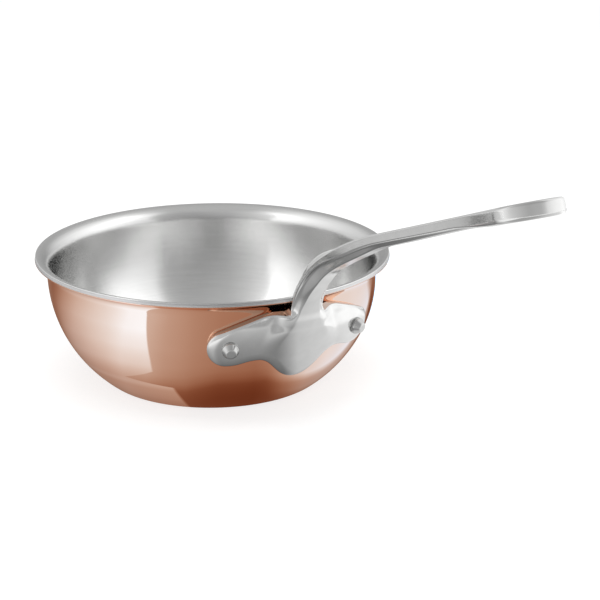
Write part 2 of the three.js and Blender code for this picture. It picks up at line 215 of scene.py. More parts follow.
def make_piece(name: str, points: Array, faces: list[list[int]], uv: Array | None = None) -> Piece:
    """Put points and faces into a smooth-shaded mesh object at the origin.

    Args:
        name: Name of the piece.
        points: Vertices in millimetres, one row each.
        faces: Vertex numbers of each face.
        uv: Map places of the face corners in the faces' order, or None.

    Returns:
        The new object, linked to the scene.
    """
    mesh = bpy.data.meshes.new(name)
    mesh.from_pydata((points * MM).tolist(), [], faces)
    if uv is not None:
        mesh.uv_layers.new(name="UVMap").data.foreach_set("uv", uv.astype(np.float32).ravel())
    mesh.shade_smooth()
    piece = bpy.data.objects.new(name, mesh)
    bpy.context.scene.collection.objects.link(piece)
    return piece


def close_up(piece: Piece) -> None:
    """Merge vertices that lie on each other, drop what has no area, and turn all faces outwards.

    Args:
        piece: The piece, whose mesh is changed.
    """
    work = bmesh.new()
    work.from_mesh(piece.data)
    bmesh.ops.remove_doubles(work, verts=work.verts, dist=WELD)
    bmesh.ops.dissolve_degenerate(work, edges=work.edges, dist=WELD)
    bmesh.ops.recalc_face_normals(work, faces=work.faces)
    work.to_mesh(piece.data)
    work.free()
    piece.data.shade_smooth()


def ring_points(out: Array, up: Array, sides: int) -> Array:
    """Turn points round the Z axis: each goes to (out cos a, out sin a, up) for evenly spaced angles a.

    Args:
        out: Distances from the axis.
        up: Heights, or one height.
        sides: Steps round the axis.

    Returns:
        Rings of points, as rings by points by 3.
    """
    angle = np.linspace(0.0, 2.0 * np.pi, sides, endpoint=False)
    x, y = np.outer(out, np.cos(angle)), np.outer(out, np.sin(angle))
    return np.stack(np.broadcast_arrays(x, y, np.reshape(up, (-1, 1))), axis=-1)


def ring_quads(rings: int, around: int) -> Array:
    """Join rings of points by quads, each from a point to the next one round and up to the next ring.

    Args:
        rings: Number of rings, numbered one after the other.
        around: Points on each ring.

    Returns:
        Vertex numbers, one row of four for each quad.
    """
    column = np.arange(around)
    after = (column + 1) % around
    row = np.arange(rings - 1)[:, None] * around
    quads = np.stack([row + column, row + after, row + around + after, row + around + column], axis=-1)
    return quads.reshape(-1, 4)


def map_corners(u: Sequence[Array], v: Sequence[Array]) -> Array:
    """Pair map places round a piece with places along its profile, corner by corner of each face.

    Args:
        u: Places round the piece, one array for each corner.
        v: Places along the profile, one array for each corner.

    Returns:
        Rows of (u, v) in the faces' order.
    """
    corners = np.broadcast_arrays(np.stack(u, axis=-1), np.stack(v, axis=-1))
    return np.stack(corners, axis=-1).reshape(-1, 2)


def turned(name: str, profile: Array, sides: int) -> Piece:
    """Turn a profile round the Z axis into rings of points, with a fan of triangles to the axis at each end.

    The map's first axis runs round the piece and its second along the profile.

    Args:
        name: Name of the piece.
        profile: Rows of (out, up) in millimetres, with the first and last row on the axis.
        sides: Steps round the axis.

    Returns:
        The closed piece.
    """
    rows = len(profile) - 2
    rings = ring_points(profile[1:-1, 0], profile[1:-1, 1], sides)
    points = np.vstack([rings.reshape(-1, 3), UP * profile[0, 1], UP * profile[-1, 1]])

    column = np.arange(sides)
    after = (column + 1) % sides
    last = (rows - 1) * sides
    start_fan = np.stack([np.full(sides, rows * sides), after, column], axis=-1)
    end_fan = np.stack([np.full(sides, rows * sides + 1), last + column, last + after], axis=-1)
    faces = ring_quads(rows, sides).tolist() + start_fan.tolist() + end_fan.tolist()

    lengths = travelled(profile)
    v = lengths / lengths[-1]
    low, high = v[1:-2, None], v[2:-1, None]
    here, there = column / sides, (column + 1) / sides
    between = (here + there) / 2.0
    uv = np.vstack([
        map_corners([here, there, there, here], [low, low, high, high]),
        map_corners([between, there, here], v[[0, 1, 1]]),
        map_corners([between, here, there], v[[-1, -2, -2]]),
    ])
    return make_piece(name, points, faces, uv)


def tube(name: str, rings: Array) -> Piece:
    """Join a row of closed rings into one surface.

    Args:
        name: Name of the piece.
        rings: Points in millimetres, as rings by points by 3.

    Returns:
        The piece, open at its two ends unless the end rings lie flat on themselves.
    """
    return make_piece(name, rings.reshape(-1, 3), ring_quads(*rings.shape[:2]).tolist())


class Bench:
    """The nodes of a material or of the world, with short ways to add to them and to wire them."""

    noise_middle: Pair = (0.3, 0.7)
    flat_ways: Triple = (1.0, 1.0, 0.0)
    line_drift: Triple = (0.012, 0.009, 0.0)

    def __init__(self, owner: bpy.types.Material | bpy.types.World) -> None:
        """Start work on the nodes of a new material or world."""
        owner.use_nodes = True
        self.owner, self.tree = owner, owner.node_tree

    @classmethod
    def new(cls, name: str) -> "Bench":
        """Start a material with one Principled shader."""
        return cls(bpy.data.materials.new(name))

    def add(self, kind: str, inputs: Inputs | None = None, **settings: object) -> bpy.types.Node:
        """Add a node.

        Args:
            kind: Node type without its ShaderNode prefix.
            inputs: Values or output sockets for its inputs, by name or number.
            **settings: Values of the node's own properties.

        Returns:
            The node.
        """
        node = self.tree.nodes.new("ShaderNode" + kind)
        for key, value in settings.items():
            setattr(node, key, value)
        self.feed(node, inputs or {})
        return node

    def feed(self, node: bpy.types.Node, inputs: Inputs) -> None:
        """Link outputs to a node's inputs, or set the inputs' own values.

        Args:
            node: The node.
            inputs: Values or output sockets for its inputs, by name or number.
        """
        for key, value in inputs.items():
            if isinstance(value, Socket):
                self.tree.links.new(value, node.inputs[key])
            else:
                node.inputs[key].default_value = value

    def math(self, operation: str, first: object, second: object) -> Socket:
        """Work out an operation on two numbers."""
        return self.add("Math", {0: first, 1: second}, operation=operation).outputs[0]

    def length(self, vector: Socket) -> Socket:
        """Give the length of a vector."""
        return self.add("VectorMath", {0: vector}, operation="LENGTH").outputs["Value"]

    def reach(self, vector: Socket, way: Triple) -> Socket:
        """Give how far a vector goes along a way, as their dot product."""
        return self.add("VectorMath", {0: vector, 1: way}, operation="DOT_PRODUCT").outputs["Value"]

    def parts(self, vector: Socket) -> bpy.types.bpy_prop_collection:
        """Give the outputs X, Y and Z of a vector."""
        return self.add("SeparateXYZ", {0: vector}).outputs

    def ramp(self, value: Socket, start: float, end: float, low: float = 0.0, high: float = 1.0) -> Socket:
        """Go straight from low to high while a value goes from start to end, level beyond."""
        inputs = {"Value": value, "From Min": start, "From Max": end, "To Min": low, "To Max": high}
        return self.add("MapRange", inputs).outputs["Result"]

    def mix(self, share: Socket, first: object, second: object) -> Socket:
        """Go from a first number to a second by a share."""
        return self.add("Mix", {0: share, 2: first, 3: second}).outputs[0]

    def curve(self, value: Socket, stations: Stations) -> Socket:
        """Give what stations joined by straight lines say at a value.

        Args:
            value: Where to read them.
            stations: Pairs of place and value, with places from 0 to 1.

        Returns:
            Socket of the result.
        """
        node = self.add("FloatCurve", {"Value": value})
        node.mapping.use_clip = False
        points = node.mapping.curves[0].points
        for place, height in stations[1:-1]:
            points.new(place, height)
        points[0].location, points[-1].location = stations[0], stations[-1]
        for point in points:
            point.handle_type = "VECTOR"
        node.mapping.update()
        return node.outputs[0]

    def ring(self, share: Socket, stations: Stations) -> Socket:
        """Give what a ring of stations, placed in degrees from -180 to 180, says at a share of the turn."""
        return self.curve(share, [((degrees + 180.0) / 360.0, value) for degrees, value in stations])

    def place(self) -> Socket:
        """Give the Object coordinates of the piece."""
        return self.add("TexCoord").outputs["Object"]

    def spun(self) -> Socket:
        """Give coordinates for lines that run round the Z axis.

        They are the distance from the axis, the height, and a slow drift across the piece that ends
        each line after a few centimetres.

        Returns:
            Socket of the coordinates.
        """
        place = self.place()
        flat = self.add("VectorMath", {0: place, 1: self.flat_ways}, operation="MULTIPLY").outputs[0]
        lines = {"X": self.length(flat), "Y": self.parts(place)["Z"], "Z": self.reach(place, self.line_drift)}
        return self.add("CombineXYZ", lines).outputs[0]

    def noise(self, where: Socket, scale: float, detail: float) -> Socket:
        """Give noise from 0 to 1 with a scale in waves per metre."""
        return self.add("TexNoise", {"Vector": where, "Scale": scale, "Detail": detail}).outputs["Fac"]

    def span(self, noise: Socket, low: float, high: float) -> Socket:
        """Stretch the middle of a noise over a range from low to high."""
        return self.ramp(noise, *self.noise_middle, low, high)

    def tint(self, noise: Socket, first: Colour, second: Colour) -> Socket:
        """Pass from one colour to another over the middle of a noise.

        Args:
            noise: The noise.
            first: Colour at its low end.
            second: Colour at its high end.

        Returns:
            Socket of the colour.
        """
        ramp = self.add("ValToRGB", {"Fac": noise})
        for stop, place, colour in zip(ramp.color_ramp.elements, self.noise_middle, (first, second)):
            stop.position = place
            stop.color = (*colour, 1.0)
        return ramp.outputs["Color"]

    def bump(self, height: Socket, strength: float, depth: float) -> Socket:
        """Give a normal roughened by a height, with its depth in millimetres."""
        inputs = {"Height": height, "Strength": strength, "Distance": depth * MM}
        return self.add("Bump", inputs).outputs["Normal"]

    def coat(self, inputs: Inputs) -> bpy.types.Material:
        """Set or link inputs of the Principled shader by name, and give the material."""
        self.feed(self.tree.nodes["Principled BSDF"], inputs)
        return self.owner


@dataclass(frozen=True)
class Metal:
    """What the finishes share: a metal between two colours and two roughnesses, with a fine grain."""

    name: str
    dull: Colour
    bright: Colour
    smooth: float
    rough: float
    grain_scale: float
    grain_detail: float
    grain_strength: float
    grain_depth: float

    def coat(self, bench: Bench, clouds: Socket, grain: Socket) -> bpy.types.Material:
        """Wire up the metal.

        Args:
            bench: Its material's nodes.
            clouds: Noise that passes between the colours.
            grain: Noise that passes between the roughnesses and roughens the surface.

        Returns:
            The material.
        """
        return bench.coat({
            "Base Color": bench.tint(clouds, self.dull, self.bright),
            "Metallic": 1.0,
            "Roughness": bench.span(grain, self.smooth, self.rough),
            "Normal": bench.bump(grain, self.grain_strength, self.grain_depth),
        })


@dataclass(frozen=True)
class PolishedCopper(Metal):
    """Mirror-polished copper with faint lines from the polishing wheel and slight clouds of colour."""

    name: str = "polished_copper"
    dull: Colour = (0.82, 0.46, 0.31)
    bright: Colour = (0.86, 0.49, 0.335)
    smooth: float = 0.035
    rough: float = 0.065
    grain_scale: float = 2200.0
    grain_detail: float = 3.0
    grain_strength: float = 0.02
    grain_depth: float = 0.02
    cloud_scale: float = 24.0
    cloud_detail: float = 3.0

    def material(self) -> bpy.types.Material:
        """Make the copper.

        Returns:
            The material.
        """
        bench = Bench.new(self.name)
        clouds = bench.noise(bench.place(), self.cloud_scale, self.cloud_detail)
        return self.coat(bench, clouds, bench.noise(bench.spun(), self.grain_scale, self.grain_detail))


@dataclass(frozen=True)
class SatinSteel:
    """Stainless steel brushed round the bowl, which draws reflections out across the brush lines."""

    dull: Colour = (0.765, 0.765, 0.76)
    bright: Colour = (0.81, 0.81, 0.805)
    smooth: float = 0.17
    rough: float = 0.21
    drawn_out: float = 0.97
    drawn_way: float = 0.25
    line_scale: float = 2400.0
    line_detail: float = 5.0

    def material(self) -> bpy.types.Material:
        """Make the brushed lining, whose gloss is drawn out along the piece's own map.

        Returns:
            The material.
        """
        bench = Bench.new("brushed_steel")
        lines = bench.noise(bench.spun(), self.line_scale, self.line_detail)
        return bench.coat({
            "Base Color": bench.tint(lines, self.dull, self.bright),
            "Metallic": 1.0,
            "Roughness": bench.span(lines, self.smooth, self.rough),
            "Anisotropic": self.drawn_out,
            "Anisotropic Rotation": self.drawn_way,
            "Tangent": bench.add("Tangent", direction_type="UV_MAP", uv_map="UVMap").outputs["Tangent"],
        })


@dataclass(frozen=True)
class CutAluminium(Metal):
    """The ground edge of the core: dull aluminium with grinding lines round the rim."""

    name: str = "cut_aluminium"
    dull: Colour = (0.62, 0.62, 0.625)
    bright: Colour = (0.72, 0.72, 0.725)
    smooth: float = 0.26
    rough: float = 0.36
    grain_scale: float = 3000.0
    grain_detail: float = 3.0
    grain_strength: float = 0.06
    grain_depth: float = 0.02

    def material(self) -> bpy.types.Material:
        """Make the cut edge.

        Returns:
            The material.
        """
        bench = Bench.new(self.name)
        lines = bench.noise(bench.spun(), self.grain_scale, self.grain_detail)
        return self.coat(bench, lines, lines)


@dataclass(frozen=True)
class PolishedCasting(Metal):
    """Cast steel polished on a soft wheel: bright, with the faint waves and pores of the casting left."""

    name: str = "polished_casting"
    dull: Colour = (0.66, 0.66, 0.655)
    bright: Colour = (0.70, 0.70, 0.695)
    smooth: float = 0.10
    rough: float = 0.17
    grain_scale: float = 900.0
    grain_detail: float = 4.0
    grain_strength: float = 0.08
    grain_depth: float = 0.02
    wave_scale: float = 130.0
    wave_detail: float = 2.0

    def material(self) -> bpy.types.Material:
        """Make the polished casting.

        Returns:
            The material.
        """
        bench = Bench.new(self.name)
        place = bench.place()
        waves = bench.noise(place, self.wave_scale, self.wave_detail)
        return self.coat(bench, waves, bench.noise(place, self.grain_scale, self.grain_detail))


def dress(piece: Piece, material: bpy.types.Material, slot: Slot, node: str) -> None:
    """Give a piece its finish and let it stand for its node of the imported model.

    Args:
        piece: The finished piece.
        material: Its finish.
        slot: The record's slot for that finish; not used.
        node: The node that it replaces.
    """
    piece.data.materials.clear()
    piece.data.materials.append(material)
    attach(piece, BODY)
    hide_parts(node)
    log.info("%s: %d faces", piece.name, len(piece.data.polygons))


@dataclass
class Bowl:
    """Three bonded sheets turned round one axis, with a curved belly and a flared pouring lip."""

    rim_radius: float = 100.0
    height: float = 73.5
    belly_reach: float = 36.7
    base_corner: float = 10.0
    wall_band: float = 1.0
    lip_radius: float = 6.2
    lip_turn: float = math.radians(80.0)
    lip_tip: float = 1.5
    copper: float = 0.5
    core: float = 1.5
    steel: float = 0.5
    bond_gap: float = 0.05
    rim_round: float = 0.4
    seam_round: float = 0.04
    seat_gap: float = 0.3
    sides: int = 288
    flat_steps: int = 13
    corner_steps: int = 12
    belly_steps: int = 48
    lip_steps: int = 24
    tip_shares: tuple[float, ...] = (0.35, 0.6, 1.0)
    edge_steps: int = 6
    copper_finish: PolishedCopper = field(default_factory=PolishedCopper)
    core_finish: CutAluminium = field(default_factory=CutAluminium)
    steel_finish: SatinSteel = field(default_factory=SatinSteel)

    @cached_property
    def core_depth(self) -> float:
        """Depth of the core below the outer face."""
        return self.copper + self.bond_gap

    @cached_property
    def liner_depth(self) -> float:
        """Depth of the steel below the outer face."""
        return self.core_depth + self.core + self.bond_gap

    @cached_property
    def thickness(self) -> float:
        """Thickness of the whole wall."""
        return self.liner_depth + self.steel

    @cached_property
    def lip_ahead(self) -> Array:
        """Way (out, up) in which the lip's straight tip points."""
        return np.array([math.sin(self.lip_turn), math.cos(self.lip_turn)])

    @cached_property
    def wall_radius(self) -> float:
        """Radius of the wall at its widest, below the lip."""
        flare = self.lip_radius * (1.0 - math.cos(self.lip_turn)) + self.lip_tip * math.sin(self.lip_turn)
        return self.rim_radius - flare

    @cached_property
    def tip_up(self) -> float:
        """Height of the outer face at the lip's end."""
        return self.height - self.thickness * math.sin(self.lip_turn)

    @cached_property
    def lip_up(self) -> float:
        """Height at which the wall turns out into the lip."""
        rise = self.lip_radius * math.sin(self.lip_turn) + self.lip_tip * math.cos(self.lip_turn)
        return self.tip_up - rise

    @cached_property
    def belly_up(self) -> float:
        """Height of the belly's widest line."""
        return self.lip_up - self.wall_band

    @cached_property
    def flat_radius(self) -> float:
        """Radius of the flat base."""
        return self.wall_radius - self.belly_reach

    @cached_property
    def belly_radius(self) -> float:
        """Radius of the belly arc that is upright at the wall and touches the base's corner arc."""
        reach, corner, rise = self.belly_reach, self.base_corner, self.belly_up - self.base_corner
        return (reach**2 + rise**2 - corner**2) / (2.0 * (reach - corner))

    @cached_property
    def belly_middle(self) -> float:
        """Distance of the belly arc's centre from the axis."""
        return self.wall_radius - self.belly_radius

    @cached_property
    def seat_radius(self) -> float:
        """Radius of the arc on which the bracket lies."""
        return self.belly_radius + self.seat_gap

    def outer_face(self) -> tuple[Array, Array]:
        """Draw the outer face: flat base, corner arc, belly arc, wall band and lip arc with its straight tip.

        Returns:
            Points as (out, up) from the axis to the lip's end, and the unit ways that point into the wall.
        """
        down = -math.pi / 2.0
        joint = down + math.atan2(self.flat_radius - self.belly_middle, self.belly_up - self.base_corner)
        flat = np.linspace((0.0, 0.0), (self.flat_radius, 0.0), self.flat_steps, endpoint=False)
        corner_middle = (self.flat_radius, self.base_corner)
        belly_middle = (self.belly_middle, self.belly_up)
        lip_middle = (self.wall_radius + self.lip_radius, self.lip_up)
        corner = arc(corner_middle, self.base_corner, down, joint, self.corner_steps)
        belly = arc(belly_middle, self.belly_radius, joint, 0.0, self.belly_steps)[1:]
        lip = arc(lip_middle, self.lip_radius, math.pi, math.pi - self.lip_turn, self.lip_steps)
        lip_way = (lip - lip_middle) / self.lip_radius
        tip = lip[-1] + self.lip_ahead * self.lip_tip * np.array(self.tip_shares)[:, None]
        ways = np.vstack([
            np.tile([0.0, 1.0], (len(flat), 1)),
            (corner_middle - corner) / self.base_corner,
            (belly_middle - belly) / self.belly_radius,
            lip_way,
            np.tile(lip_way[-1], (len(tip), 1)),
        ])
        return np.vstack([flat, corner, belly, lip, tip]), ways

    def sheet(self, name: str, start: float, end: float, start_round: float, end_round: float) -> Piece:
        """Turn one sheet: the outer face moved inwards to two depths, joined at the lip by a rounded edge.

        Args:
            name: Name of the piece.
            start: Depth of its outer side below the bowl's outer face.
            end: Depth of its inner side.
            start_round: Radius of its outer edge at the lip.
            end_round: Radius of its inner edge at the lip.

        Returns:
            The closed sheet.
        """
        points, ways = self.outer_face()
        turn = np.linspace(0.0, math.pi / 2.0, self.edge_steps + 1)[:, None]
        deeper, shorter = 1.0 - np.cos(turn), self.lip_ahead * (1.0 - np.sin(turn))
        outside = (points + ways * start)[:-1]
        inside = (points + ways * end)[:-1]
        first = points[-1] + ways[-1] * (start + start_round * deeper) - start_round * shorter
        second = points[-1] + ways[-1] * (end - end_round * deeper) - end_round * shorter
        return turned(name, np.vstack([outside, first, second[::-1], inside[::-1]]), self.sides)

    def seat_at(self, along: Array) -> tuple[Array, Array, Array]:
        """Follow the bracket's seat: down the belly's arc below its widest line, straight up above it.

        Args:
            along: Lengths along the wall from the widest line, upwards positive.

        Returns:
            Distances out and up, and the wall's heading there in radians.
        """
        angle = np.maximum(0.0, -along / self.seat_radius)
        out = self.belly_middle + self.seat_radius * np.cos(angle)
        up = self.belly_up - self.seat_radius * np.sin(angle) + np.maximum(0.0, along)
        return out, up, math.pi / 2.0 - angle

    def build(self) -> Piece:
        """Make and dress the three sheets, from the outer one to the inner one.

        Returns:
            The copper shell.
        """
        shell = self.sheet("shell", 0.0, self.copper, self.rim_round, self.seam_round)
        dress(shell, self.copper_finish.material(), Slot.COPPER, "copper_shell")
        core_end = self.core_depth + self.core
        core = self.sheet("core", self.core_depth, core_end, self.seam_round, self.seam_round)
        dress(core, self.core_finish.material(), Slot.ALUMINIUM, "aluminium_core")
        liner = self.sheet("liner", self.liner_depth, self.thickness, self.seam_round, self.rim_round)
        dress(liner, self.steel_finish.material(), Slot.SATIN_STEEL, "steel_liner")
        return shell


@dataclass
class Rivets:
    """Two rivets through bracket and wall: flat-topped cones outside and low domes inside the bowl."""

    spread: float = 38.6
    drop: float = 15.8
    diameter: float = 6.0
    clearance: float = 0.15
    head_diameter: float = 9.2
    head_collar: float = 1.05
    head_height: float = 4.2
    head_top_diameter: float = 5.4
    collar_round: float = 0.45
    top_round: float = 0.72
    top_ring_diameter: float = 2.16
    tail_diameter: float = 11.0
    tail_height: float = 2.2
    bowl_facets: int = 40
    sides: int = 64
    dome_steps: int = 12
    collar_steps: int = 6
    top_steps: int = 8
    # Painted shade: the rivets take a darker copy of the casting's polished steel, which darkens their heads.
    finish: PolishedCasting = field(default_factory=lambda: PolishedCasting(
        name="polished_rivet", dull=(0.53, 0.53, 0.525), bright=(0.59, 0.59, 0.585),
        smooth=0.12, rough=0.18, grain_depth=0.015))

    def profile(self, bowl: Bowl, plate: float) -> Array:
        """Draw half a rivet along its axis: an elliptic dome, a shank, a collar and a cone with round edges.

        The dome stands off the wall by the hollow of the belly under it and by the wall's depth within one
        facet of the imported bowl.

        Args:
            bowl: The bowl that it goes through.
            plate: Thickness of the bracket under the head.

        Returns:
            Points as (out, up), where up is the height above the bracket's seat, from the tail to the top.
        """
        outside = plate + self.clearance
        hollow = self.tail_diameter**2 / (8.0 * (bowl.belly_radius - bowl.thickness))
        facet = bowl.wall_radius * (1.0 - math.cos(math.pi / self.bowl_facets))
        inside = -bowl.seat_gap - bowl.thickness - hollow - facet - self.clearance
        turn = np.linspace(0.0, math.pi / 2.0, self.dome_steps + 1)
        shank, head, tail = self.diameter / 2.0, self.head_diameter / 2.0, self.tail_diameter / 2.0
        dome = np.stack([tail * np.sin(turn), inside - self.tail_height * np.cos(turn)], axis=1)
        shoulder = np.array([head, outside + self.head_collar])
        brow = np.array([self.head_top_diameter / 2.0, outside + self.head_height])
        slope = (brow - shoulder) / np.linalg.norm(brow - shoulder)
        collar = [shoulder - (0.0, self.collar_round), shoulder, shoulder + slope * self.collar_round]
        top = [brow - slope * self.top_round, brow, brow - (self.top_round, 0.0)]
        return np.vstack([
            dome,
            [(shank, inside), (shank, outside), (head, outside)],
            bezier(collar, self.collar_steps),
            bezier(top, self.top_steps),
            [(self.top_ring_diameter / 2.0, brow[1]), (0.0, brow[1])],
        ])

    def build(self, bowl: Bowl, plate: float) -> list[Piece]:
        """Make and dress both rivets, each turned on its own axis and set square to the wall.

        Args:
            bowl: The bowl that they go through.
            plate: Thickness of the bracket under their heads.

        Returns:
            The two rivets.
        """
        pieces = []
        material = self.finish.material()
        out, up, heading = bowl.seat_at(np.array(-self.drop))
        for side in Side:
            name = "rivet_" + side.name.lower()
            piece = turned(name + "_head_and_tail", self.profile(bowl, plate), self.sides)
            turn = side.value * self.spread / bowl.wall_radius
            around = np.array([math.cos(turn), math.sin(turn), 0.0])
            across = np.cross(UP, around)
            outward = around * np.sin(heading) - UP * np.cos(heading)
            axes = np.stack([across, np.cross(outward, across), outward])
            points = np.empty(3 * len(piece.data.vertices))
            piece.data.vertices.foreach_get("co", points)
            seat = (around * out + UP * up) * MM
            piece.data.vertices.foreach_set("co", (points.reshape(-1, 3) @ axes + seat).ravel())
            close_up(piece)
            dress(piece, material, Slot.RIVET_STEEL, name)
            pieces.append(piece)
        return pieces


@dataclass
class Handle:
    """One casting: a winged bracket on the wall, a leaning neck, an arch and a grip with a hanging eye.

    Its surface is laid out flat, as a height off the seat over a length across and a length along, and then
    bent onto the wall and along the spine.
    """

    bowl: Bowl
    rivets: Rivets
    plate: float = 5.2
    wing_radius: float = 10.1
    wing_past_rivet: float = 1.9
    wing_below_rivet: float = 0.9
    wing_top: float = 3.5
    wing_slope: float = math.radians(22.0)
    corner_slope: float = math.radians(15.0)
    armpit_across: float = 23.0
    armpit_drop: float = 24.2
    tongue_tip_width: float = 23.2
    tongue_width: float = 31.0
    tongue_drop: float = 38.3
    corner_fillet: float = 3.0
    hug_width: float = 44.0
    lip_clearance: float = 0.3
    bend_radius: float = 8.0
    bend_fill: float = 0.7
    fairing: float = 12.0
    lean_angle: float = math.radians(60.0)
    lean_length: float = 18.8
    arch_radius: float = 75.0
    arch_angle: float = math.radians(33.5)
    sweep_radius: float = 230.0
    grip_angle: float = math.radians(20.2)
    grip_length: float = 128.2
    neck_width: float = 17.6
    arch_width: float = 18.4
    grip_width: float = 17.0
    waist_width: float = 17.6
    waist_from_end: float = 83.0
    flare_width: float = 21.6
    flare_from_end: float = 51.0
    end_width: float = 31.6
    end_length: float = 19.8
    end_swell: float = 2.6
    end_fullness: float = 11.0
    end_flat: float = 10.5
    neck_edge: float = 2.2
    arch_edge: float = 2.4
    sweep_edge: float = 4.85
    grip_edge: float = 4.6
    mid_grip_edge: float = 4.9
    shoulder_edge: float = 7.6
    end_edge: float = 8.0
    neck_keel: float = 3.0
    arch_keel: float = 4.8
    sweep_keel: float = 3.3
    grip_keel: float = 2.4
    mid_grip_keel: float = 1.5
    neck_crest: float = 10.5
    neck_foot: float = 16.6
    root_fall: float = 10.5
    keel_crest: float = 7.0
    keel_foot: float = 12.0
    hump: float = 4.5
    hump_past_rim: float = 4.0
    hump_squareness: float = 4.0
    wing_round: float = 5.0
    top_round: float = 1.4
    round_change: Pair = (0.45, 0.65)
    flange_round: float = 0.7
    end_round: float = 2.4
    round_depth: float = 2.4
    back_round: float = 0.8
    end_back_round: float = 1.6
    eye_length: float = 28.0
    eye_width: float = 12.0
    eye_from_end: float = 9.0
    eye_round: float = 1.0
    eye_past: float = 3.0
    crease: float = math.radians(40.0)
    ruling: Stations = ((0.0, 0.0), (0.12, 0.48), (0.94, 0.78), (1.0, 1.0))
    ruling_crowd: float = 1.8
    side_shares: tuple[float, ...] = (0.15, 0.5, 0.85, 1.0)
    tongue_steps: int = 44
    wing_steps: int = 150
    grip_steps: int = 130
    end_steps: int = 36
    face_steps: int = 44
    round_steps: int = 8
    eye_sides: int = 96
    eye_round_steps: int = 6
    finish: PolishedCasting = field(default_factory=PolishedCasting)

    @cached_property
    def leave_drop(self) -> float:
        """Find how far below the widest line the spine leaves the wall, so that its lean just clears the lip.

        Returns:
            The length down the wall.
        """
        bowl, lean = self.bowl, self.lean_angle
        aside, above = bowl.rim_radius - bowl.belly_middle, bowl.tip_up - bowl.belly_up
        away = math.sin(lean) * aside - math.cos(lean) * above + self.lip_clearance
        turn = math.asin((away + self.bend_radius) / (bowl.seat_radius + self.bend_radius))
        return bowl.seat_radius * (turn - lean)

    @cached_property
    def stretches(self) -> list[Pair]:
        """List the spine's arcs and straights in order: bend, lean, arch, sweep and grip.

        Returns:
            Pairs of a length and the heading at its end.
        """
        leave = float(self.bowl.seat_at(np.array(-self.leave_drop))[2])
        return [
            (self.bend_radius * (leave - self.lean_angle), self.lean_angle),
            (self.lean_length, self.lean_angle),
            (self.arch_radius * (self.lean_angle - self.arch_angle), self.arch_angle),
            (self.sweep_radius * (self.arch_angle - self.grip_angle), self.grip_angle),
            (self.grip_length, self.grip_angle),
        ]

    @cached_property
    def marks(self) -> dict[str, float]:
        """Name the places along the spine at which one stretch passes into the next, and some in between.

        Returns:
            Lengths along the spine, by name.
        """
        ends = np.cumsum([length for length, _ in self.stretches]) - self.leave_drop
        marks = dict(zip(("lean", "arch", "sweep", "grip", "end"), ends.tolist()))
        marks["bend"] = (marks["lean"] - self.leave_drop) / 2.0
        marks["rim"] = (marks["arch"] + marks["lean"]) / 2.0
        marks["mid_arch"] = (marks["arch"] + marks["sweep"]) / 2.0
        marks["mid_sweep"] = (marks["sweep"] + marks["grip"]) / 2.0
        marks["mid_grip"] = (marks["grip"] + marks["end"]) / 2.0
        marks["waist"] = marks["end"] - self.waist_from_end
        marks["flare"] = marks["end"] - self.flare_from_end
        marks["shoulder"] = marks["end"] - self.end_length
        return marks

    def spine_at(self, along: Array) -> tuple[Array, Array, Array]:
        """Follow the spine: on the wall first, then stretch by stretch along the chord of each arc.

        Args:
            along: Lengths along the spine from the bowl's widest line.

        Returns:
            Distances out and up, and the heading in radians.
        """
        out, up, heading = self.bowl.seat_at(np.minimum(along, -self.leave_drop))
        left = along + self.leave_drop
        for length, end in self.stretches:
            step = np.clip(left, 0.0, length)
            turn = (end - heading) * step / length
            chord = step * np.sinc(turn / (2.0 * np.pi))
            out = out + chord * np.cos(heading + turn / 2.0)
            up = up + chord * np.sin(heading + turn / 2.0)
            heading = heading + turn
            left = left - step
        return out, up, heading

    def bent(self, flat: Array) -> Array:
        """Bend the flat layout to its place on the pan.

        The wings follow the wall and the middle follows the spine, eased by smooth_step across the neck. The
        height stands square to them, and the width wraps round the bowl at the bracket and fades to straight.

        Args:
            flat: Rows of (across, along, height) in the last axis, in millimetres.

        Returns:
            Rows of (x, y, z) in millimetres.
        """
        across, along, height = np.moveaxis(flat, -1, 0)
        bowl, marks = self.bowl, self.marks
        spine_out, spine_up, spine_heading = self.spine_at(along)
        wall_out, wall_up, wall_heading = bowl.seat_at(along)
        hug = smooth_step(np.abs(across), self.neck_width / 2.0, self.hug_width / 2.0)
        lean = np.where(along < self.wing_top + self.corner_fillet, 1.0 - hug, 1.0)
        turn_out = smooth_step(along, -self.leave_drop - self.fairing, marks["lean"] + self.fairing)
        facing = blend(wall_heading, np.minimum(spine_heading, self.lean_angle), turn_out)
        heading = blend(wall_heading, facing, lean)
        out = blend(wall_out, spine_out, lean) + height * np.sin(heading)
        up = blend(wall_up, spine_up, lean) - height * np.cos(heading)
        wrap = 1.0 - smooth_step(along, 0.0, marks["sweep"])
        turn = across / bowl.wall_radius
        x = blend(out, out * np.cos(turn), wrap)
        y = blend(across, out * np.sin(turn), wrap)
        return np.stack([x, y, up], axis=-1)

